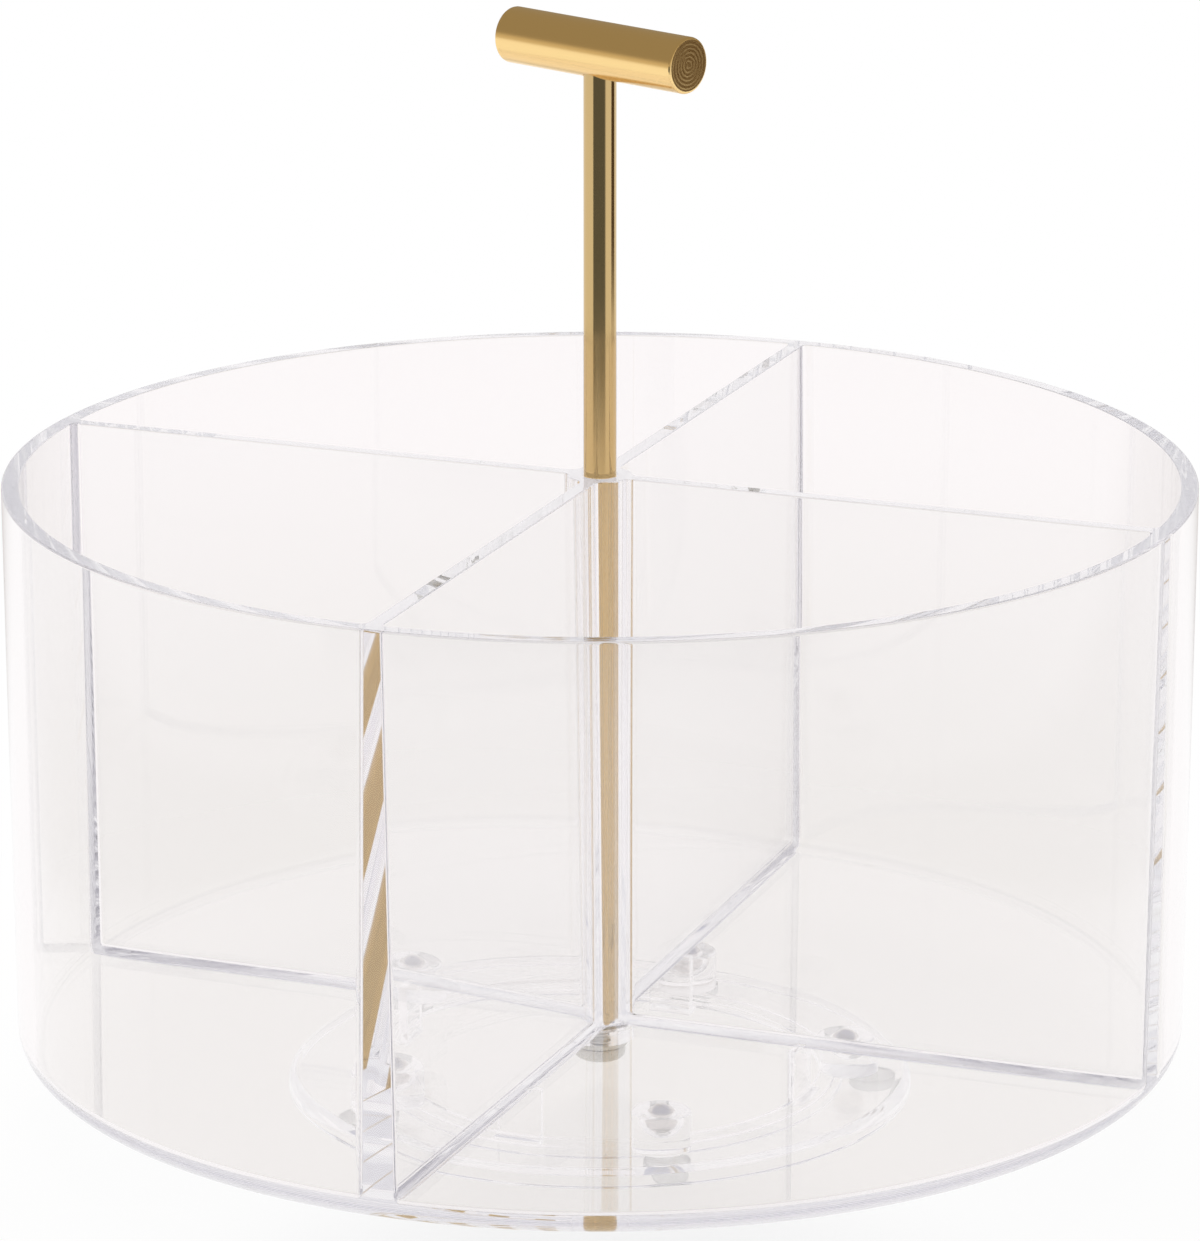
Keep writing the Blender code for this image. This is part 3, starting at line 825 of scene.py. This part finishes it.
# %% The post
POST_RADIUS, POST_LOW, POST_HIGH, POST_CHAMFER = 0.00315, 0.0122, 0.2099, 0.0004
TAP_RADIUS, TAP_TOP = 0.0022, 0.0225
add_rod(ROUND_SIDES, POST_RADIUS, POST_LOW, POST_HIGH)
post = open_new("gold_post")
for height in (POST_LOW, POST_HIGH):
    pick(post, "EDGE", ring_edge(POST_RADIUS, height))
    round_off(POST_CHAMFER, segments=2, profile=0.6)
pick(post, "FACE", lambda face: bottom_face(face) and cap(face))
bpy.ops.mesh.inset(thickness=POST_RADIUS - POST_CHAMFER - TAP_RADIUS, depth=0.0)
draw_up(TAP_TOP - TAP_RADIUS - POST_LOW)
draw_up(TAP_RADIUS)
bpy.ops.mesh.merge(type="CENTER")
close_piece(post)
dress(post, "bin", shaded_post_gold, "handle_post")

# %% The bar
BAR_AXIS, BAR_RADIUS, BAR_LENGTH, BAR_TURN = 0.2090, 0.0054, 0.0444, math.radians(-20.6)
BAR_SIDES, BAR_CHAMFER, RINGS, RING_DEPTH = 128, 0.0005, 6, 0.00002
SEAT_RADIUS, SEAT_TOP, SEAT_BOTTOM = 0.00335, 0.0012, -0.008
bpy.ops.mesh.primitive_cylinder_add(
    vertices=BAR_SIDES, radius=BAR_RADIUS, depth=BAR_LENGTH, rotation=(0.0, math.radians(90), 0.0)
)
bar = open_new("gold_bar")
pick(bar, "FACE", lambda face: abs(face.normal.x) > FLAT)
bpy.ops.mesh.region_to_loop()
round_off(BAR_CHAMFER, segments=3)
pick(bar, "FACE", lambda face: abs(face.normal.x) > FLAT and cap(face))
ring_step = (BAR_RADIUS - BAR_CHAMFER) / (4 * RINGS + 1)
for depth in (-RING_DEPTH, 0.0, RING_DEPTH, 0.0) * RINGS:
    bpy.ops.mesh.inset(thickness=ring_step, depth=depth, use_individual=True)
only(None)
add_rod(ROUND_SIDES, SEAT_RADIUS, SEAT_BOTTOM, SEAT_TOP)
seat_form = open_new("seat_form")
cut(bar, seat_form, "DIFFERENCE")
bpy.ops.object.mode_set(mode="EDIT")
bpy.ops.mesh.select_all(action="SELECT")
bpy.ops.transform.rotate(value=-BAR_TURN, orient_axis="Z", center_override=(0.0, 0.0, 0.0))
bpy.ops.transform.translate(value=(0.0, 0.0, BAR_AXIS))
close_piece(bar)
print("new box:", [round(1000 * side, 2) for side in bar.dimensions])
dress(bar, "bin", bar_gold, "handle_bar")

# %% [markdown]
# ## The feet
# Five soft clear pads sit in the ring's channel and keep it from sliding. Each is a low round pad
# with a rounded lower edge. Soft plastic scatters light a little, so it looks frosted beside the
# hard ring.

# %% Material: soft clear plastic
soft_plastic, nodes, links, shader = new_material("foot_frosted_soft")
shader.inputs["Base Color"].default_value = (0.93, 0.93, 0.92, 1.0)
shader.inputs["IOR"].default_value = 1.45
shader.inputs["Transmission Weight"].default_value = 0.75
frosting = add_group(
    nodes,
    polish_marks,
    Base_Roughness=0.38,
    Cloud_Size=0.003,
    Cloudiness=0.15,
    Grain_Size=0.00025,
    Grain_Height=0.00002,
)
links.new(frosting.outputs["Roughness"], shader.inputs["Roughness"])
links.new(frosting.outputs["Normal"], shader.inputs["Normal"])

# %% The five feet
FOOT_CIRCLE, FOOT_RADIUS, FOOT_TOP = 0.0534, 0.0045, 0.0023
FOOT_SIDES, FOOT_ROUND, FOOT_TOP_ROUND = 72, 0.0006, 0.00015
add_rod(FOOT_SIDES, FOOT_RADIUS, 0.0, FOOT_TOP, centre=on_ring(FOOT_CIRCLE))
first_foot = open_new("soft_foot")
pick(first_foot, "EDGE", at_height(0.0))
round_off(FOOT_ROUND, segments=6)
pick(first_foot, "EDGE", at_height(FOOT_TOP))
round_off(FOOT_TOP_ROUND, segments=2)
close_piece(first_foot)
for number, foot in enumerate(copy_round(first_foot, BALLS), start=1):
    foot.name = foot.data.name = f"soft_foot_{number}"
    dress(foot, "base", soft_plastic, f"foot_{number}")

# %% [markdown]
# ## The studio
# The object stands on a white table in a room with warm grey walls. This is what the metal shows:
# the underside of the bar mirrors the white table, and its top mirrors the darker room. The camera
# sees a white ground everywhere, and through the clear walls it finds the table a little darker and
# warmer near the object: a painted shadow of the object. Light that has been mirrored at least once
# sees the table's real extent: it ends at about a metre, and painted shade makes it dark towards
# the camera and at the right, where no lamp reaches. Clear surfaces find painted shade behind the
# object too. The dark band down the post is this painted shade towards the camera, mirrored. Inside
# an edge, light is mirrored again and again and mixes all of this, so there the differences are
# weakened and in the end left out. The main lamp stands behind the object, and at the sides the
# floor's glow is painted over its shadow, so its soft shadow is kept on the camera's side.

# %% Small node helpers for the studio
# A Mix node keeps its two colours and its mixed colour at these places.
MIX_FIRST, MIX_SECOND, MIX_COLOUR = 6, 7, 2


def step_node(tree, value, low, high):
    """0 below one value, 1 above another, and smooth between."""
    node = tree.nodes.new("ShaderNodeMapRange")
    node.interpolation_type = "SMOOTHSTEP"
    node.inputs["From Min"].default_value = low
    node.inputs["From Max"].default_value = high
    tree.links.new(value, node.inputs["Value"])
    return node.outputs["Result"]


def mix_node(tree, factor, first, second):
    """A colour between two; each is a colour or another node's output."""
    node = tree.nodes.new("ShaderNodeMix")
    node.data_type = "RGBA"
    tree.links.new(factor, node.inputs[0])
    for place, value in ((MIX_FIRST, first), (MIX_SECOND, second)):
        if isinstance(value, tuple):
            node.inputs[place].default_value = (*value, 1.0)
        else:
            tree.links.new(value, node.inputs[place])
    return node.outputs[MIX_COLOUR]


# %% The table
WHITE, ROOM = (1.0, 1.0, 1.0), (0.31, 0.27, 0.205)
# The middle colour on the next line is the object's painted shadow on the table near it.
PALE, NEAR_TABLE_SHADOW, TABLE_EDGE = (1.0, 0.965, 0.967), (0.895, 0.865, 0.84), (0.62, 0.54, 0.42)
# The next two colours are painted shade on the table, towards the camera and at the right.
FRONT_PAINTED_SHADE, RIGHT_PAINTED_SHADE = (0.145, 0.155, 0.16), (0.10, 0.07, 0.045)
# The first colour on the next line is painted shade behind the object, which only clear surfaces
# see.
TABLE_BACK_SHADE, EVEN = (0.70, 0.66, 0.64), (1.0, 0.985, 0.98)
AZIMUTH, ELEVATION = math.radians(21.3), math.radians(16.16)
TOWARDS_CAMERA = math.radians(90) - AZIMUTH
# Lengths are in metres from the spin axis, and angles are counted from the camera's side.
TABLE_SIZE, NEAR_END, FAR_START, EDGE_START, EDGE_END = 12.0, 0.15, 0.55, 0.9, 2.4
BACK_START, BACK_FULL = math.radians(140), math.radians(160)
FEW_MIRRORS, MANY_MIRRORS, TRAPPED_SHARE = 3.0, 6.0, 0.4
SHADOW_SHARE, SHADOW_NEAR, SHADOW_FAR = 0.12, 0.115, 0.20
SIDE_START, SIDE_FULL, SIDE_SHARE = math.radians(10), math.radians(50), 0.75
bpy.ops.mesh.primitive_plane_add(size=TABLE_SIZE, location=(0.0, 0.0, 0.0))
floor = bpy.context.object
floor.name = "studio_floor"
floor_white, nodes, links, shader = new_material("studio_floor")
tree = floor_white.node_tree
shader.inputs["Base Color"].default_value = (0.9, 0.9, 0.9, 1.0)
shader.inputs["Roughness"].default_value = 1.0
shader.inputs["Specular IOR Level"].default_value = 0.0
place = nodes.new("ShaderNodeTexCoord")
turned = nodes.new("ShaderNodeMapping")
turned.inputs["Rotation"].default_value = (0.0, 0.0, TOWARDS_CAMERA)
links.new(place.outputs["Object"], turned.inputs["Vector"])
split = nodes.new("ShaderNodeSeparateXYZ")
links.new(turned.outputs["Vector"], split.inputs["Vector"])
apart = nodes.new("ShaderNodeVectorMath")
apart.operation = "LENGTH"
links.new(place.outputs["Object"], apart.inputs[0])
apart = apart.outputs["Value"]
round_angle = number_node(tree, "ARCTAN2", split.outputs["Y"], split.outputs["X"])


def sector(first, last, soft_first, soft_last, near, soft_near):
    """1 inside a range of angles from the camera's side, in degrees, and beyond a distance."""
    after = step_node(tree, round_angle, math.radians(first), math.radians(first + soft_first))
    past = step_node(tree, round_angle, math.radians(last), math.radians(last + soft_last))
    inside = number_node(tree, "SUBTRACT", after, past)
    beyond = step_node(tree, apart, near, near + soft_near)
    return number_node(tree, "MULTIPLY", inside, beyond)


path = nodes.new("ShaderNodeLightPath")
depth, refracted = path.outputs["Glossy Depth"], path.outputs["Is Transmission Ray"]
mirrored = number_node(tree, "GREATER_THAN", depth, 0.5)
trapped = number_node(tree, "GREATER_THAN", depth, 1.5)
trapped = number_node(tree, "MULTIPLY", trapped, refracted)
strength = number_node(tree, "MULTIPLY_ADD", trapped, TRAPPED_SHARE - 1.0, mirrored)
few = step_node(tree, depth, MANY_MIRRORS, FEW_MIRRORS)
strength = number_node(tree, "MULTIPLY", strength, few)
# Near the object the table is painted darker and warmer: a painted shadow seen through the clear
# walls.
plain = mix_node(tree, step_node(tree, apart, NEAR_END, FAR_START), NEAR_TABLE_SHADOW, PALE)
plain = mix_node(tree, mirrored, plain, PALE)
plain = mix_node(tree, refracted, WHITE, plain)
shown = mix_node(tree, step_node(tree, apart, EDGE_START, EDGE_END), plain, TABLE_EDGE)
aside = number_node(tree, "ABSOLUTE", round_angle)
# Clear surfaces see painted shade on the table behind the object.
behind = step_node(tree, aside, BACK_START, BACK_FULL)
behind = number_node(tree, "MULTIPLY", behind, path.outputs["Is Singular Ray"])
shown = mix_node(tree, behind, shown, TABLE_BACK_SHADE)
# Painted shade on the table towards the camera and at the right, which mirrors see as dark bands.
front = sector(first=-50.0, last=31.0, soft_first=4.0, soft_last=14.0, near=0.45, soft_near=0.18)
shown = mix_node(tree, front, shown, FRONT_PAINTED_SHADE)
right = sector(first=84.0, last=116.0, soft_first=3.0, soft_last=4.0, near=0.62, soft_near=0.09)
shown = mix_node(tree, right, shown, RIGHT_PAINTED_SHADE)
glow = nodes.new("ShaderNodeEmission")
links.new(mix_node(tree, strength, plain, shown), glow.inputs["Color"])
seen = path.outputs["Is Camera Ray"]
seen = number_node(tree, "MAXIMUM", seen, path.outputs["Is Glossy Ray"])
seen = number_node(tree, "MAXIMUM", seen, refracted)
# At the sides the floor's glow is painted over the lamp's shadow, so the shadow stays on the
# camera's side.
lit = step_node(tree, aside, SIDE_START, SIDE_FULL)
lit = number_node(tree, "MULTIPLY", lit, SIDE_SHARE)
lit = number_node(tree, "MAXIMUM", lit, step_node(tree, apart, SHADOW_NEAR, SHADOW_FAR))
shadowless = number_node(tree, "MULTIPLY_ADD", lit, SHADOW_SHARE, 1.0 - SHADOW_SHARE)
both = nodes.new("ShaderNodeMixShader")
links.new(number_node(tree, "MULTIPLY", seen, shadowless), both.inputs["Fac"])
links.new(shader.outputs["BSDF"], both.inputs[1])
links.new(glow.outputs["Emission"], both.inputs[2])
links.new(both.outputs["Shader"], nodes["Material Output"].inputs["Surface"])
floor.data.materials.append(floor_white)
print("floor:", floor.name)

# %% [markdown]
# Clear plastic bends light up and down inside its edges, so what stands above the table decides how
# dark the edges look. Light that leaves the plastic finds a pale band near the horizon and a grey
# lilac ceiling above it, and one pale tone once it has been mirrored many times. Metal finds the
# warm grey room instead, a little lighter at the horizon. Behind the object stands a white
# backdrop, which the flat rim and the bin's floor mirror.

# %% The room
CEILING, BAND_TOP, CEILING_START = (0.36, 0.37, 0.50), 0.40, 0.60
BACKDROP_EDGE, BACKDROP_FULL, BACKDROP_TOP, BACKDROP_FADE = -0.45, -0.65, 0.62, 0.48
HORIZON_TOP, HORIZON_BACK = 0.22, -0.4
world = bpy.data.worlds.new("studio_room")
bpy.context.scene.world = world
world.use_nodes = True
tree = world.node_tree
nodes, links = tree.nodes, tree.links
direction = nodes.new("ShaderNodeTexCoord")
turned = nodes.new("ShaderNodeMapping")
turned.inputs["Rotation"].default_value = (0.0, 0.0, TOWARDS_CAMERA)
links.new(direction.outputs["Generated"], turned.inputs["Vector"])
parts = nodes.new("ShaderNodeSeparateXYZ")
links.new(turned.outputs["Vector"], parts.inputs["Vector"])
path = nodes.new("ShaderNodeLightPath")
height = parts.outputs["Z"]
backdrop = step_node(tree, parts.outputs["X"], BACKDROP_EDGE, BACKDROP_FULL)
below = step_node(tree, height, BACKDROP_TOP, BACKDROP_FADE)
backdrop = number_node(tree, "MULTIPLY", backdrop, below)
backdrop = number_node(tree, "MULTIPLY", backdrop, path.outputs["Is Singular Ray"])
horizon = step_node(tree, height, HORIZON_TOP, 0.0)
facing = step_node(tree, parts.outputs["X"], HORIZON_BACK, 0.0)
horizon = number_node(tree, "MULTIPLY", horizon, facing)
metal_room = mix_node(tree, horizon, ROOM, TABLE_EDGE)
metal_room = mix_node(tree, backdrop, metal_room, WHITE)
depth = path.outputs["Glossy Depth"]
through = mix_node(tree, step_node(tree, height, BAND_TOP, CEILING_START), PALE, CEILING)
through = mix_node(tree, step_node(tree, depth, FEW_MIRRORS, MANY_MIRRORS), through, EVEN)
colour = mix_node(tree, path.outputs["Is Transmission Ray"], metal_room, through)
colour = mix_node(tree, path.outputs["Is Camera Ray"], colour, WHITE)
links.new(colour, nodes["Background"].inputs["Color"])
print("world:", world.name)

# %% [markdown]
# Two soft lights stand over the table, a wide one above and behind the object and a weak one at the
# left, and make the soft shadow. In the photograph neither the metal nor the plastic shows a lamp,
# so mirrors and clear edges do not see them.

# %% Lights
def add_soft_light(name, place, aim, width, power):
    """A round soft light that mirrors and clear edges do not see."""
    data = bpy.data.lights.new(name, "AREA")
    data.shape = "DISK"
    data.size = width
    data.energy = power
    light = bpy.data.objects.new(name, data)
    bpy.context.scene.collection.objects.link(light)
    light.location = place
    light.rotation_mode = "QUATERNION"
    light.rotation_quaternion = (Vector(aim) - Vector(place)).to_track_quat("-Z", "Y")
    light.visible_glossy = light.visible_transmission = False


add_soft_light(
    "overhead_softbox", place=(-0.3, 0.75, 1.4), aim=(0.0, 0.0, 0.0), width=1.6, power=27.0
)
add_soft_light(
    "left_softbox", place=(-1.3, -0.4, 1.0), aim=(0.0, 0.0, 0.08), width=0.9, power=4.0
)
print("lights:", ", ".join(light.name for light in bpy.data.lights))

# %% [markdown]
# ## The camera
# A long lens from a little above, as in the photograph. Its place was fitted to the rim, the floor
# and the handle.

# %% The camera
AIM, DISTANCE = Vector((0.0, 0.0, 0.0970)), 1.375
FOCAL_PIXELS, PHOTO_HEIGHT = 7130.0, 1241.0
camera = bpy.data.objects.new("camera", bpy.data.cameras.new("camera"))
bpy.context.scene.collection.objects.link(camera)
level = math.cos(ELEVATION)
back = Vector((math.sin(AZIMUTH) * level, -math.cos(AZIMUTH) * level, math.sin(ELEVATION)))
camera.location = AIM + back * DISTANCE
camera.rotation_mode = "QUATERNION"
camera.rotation_quaternion = (-back).to_track_quat("-Z", "Y")
camera.data.sensor_width = 36.0
camera.data.lens = FOCAL_PIXELS * camera.data.sensor_width / PHOTO_HEIGHT
camera.data.clip_start = 0.05
bpy.context.scene.camera = camera
bpy.context.scene.view_settings.view_transform = "Standard"
print("lens in mm:", round(camera.data.lens, 1))

# %% [markdown]
# Light goes through many surfaces here: a wall, a divider, the tube, another wall and the floor,
# each twice. With too few bounces the deep parts would turn black, so the limits are raised.

# %% Light bounces
BOUNCES = 160
cycles = bpy.context.scene.cycles
cycles.max_bounces = cycles.transmission_bounces = cycles.glossy_bounces = BOUNCES
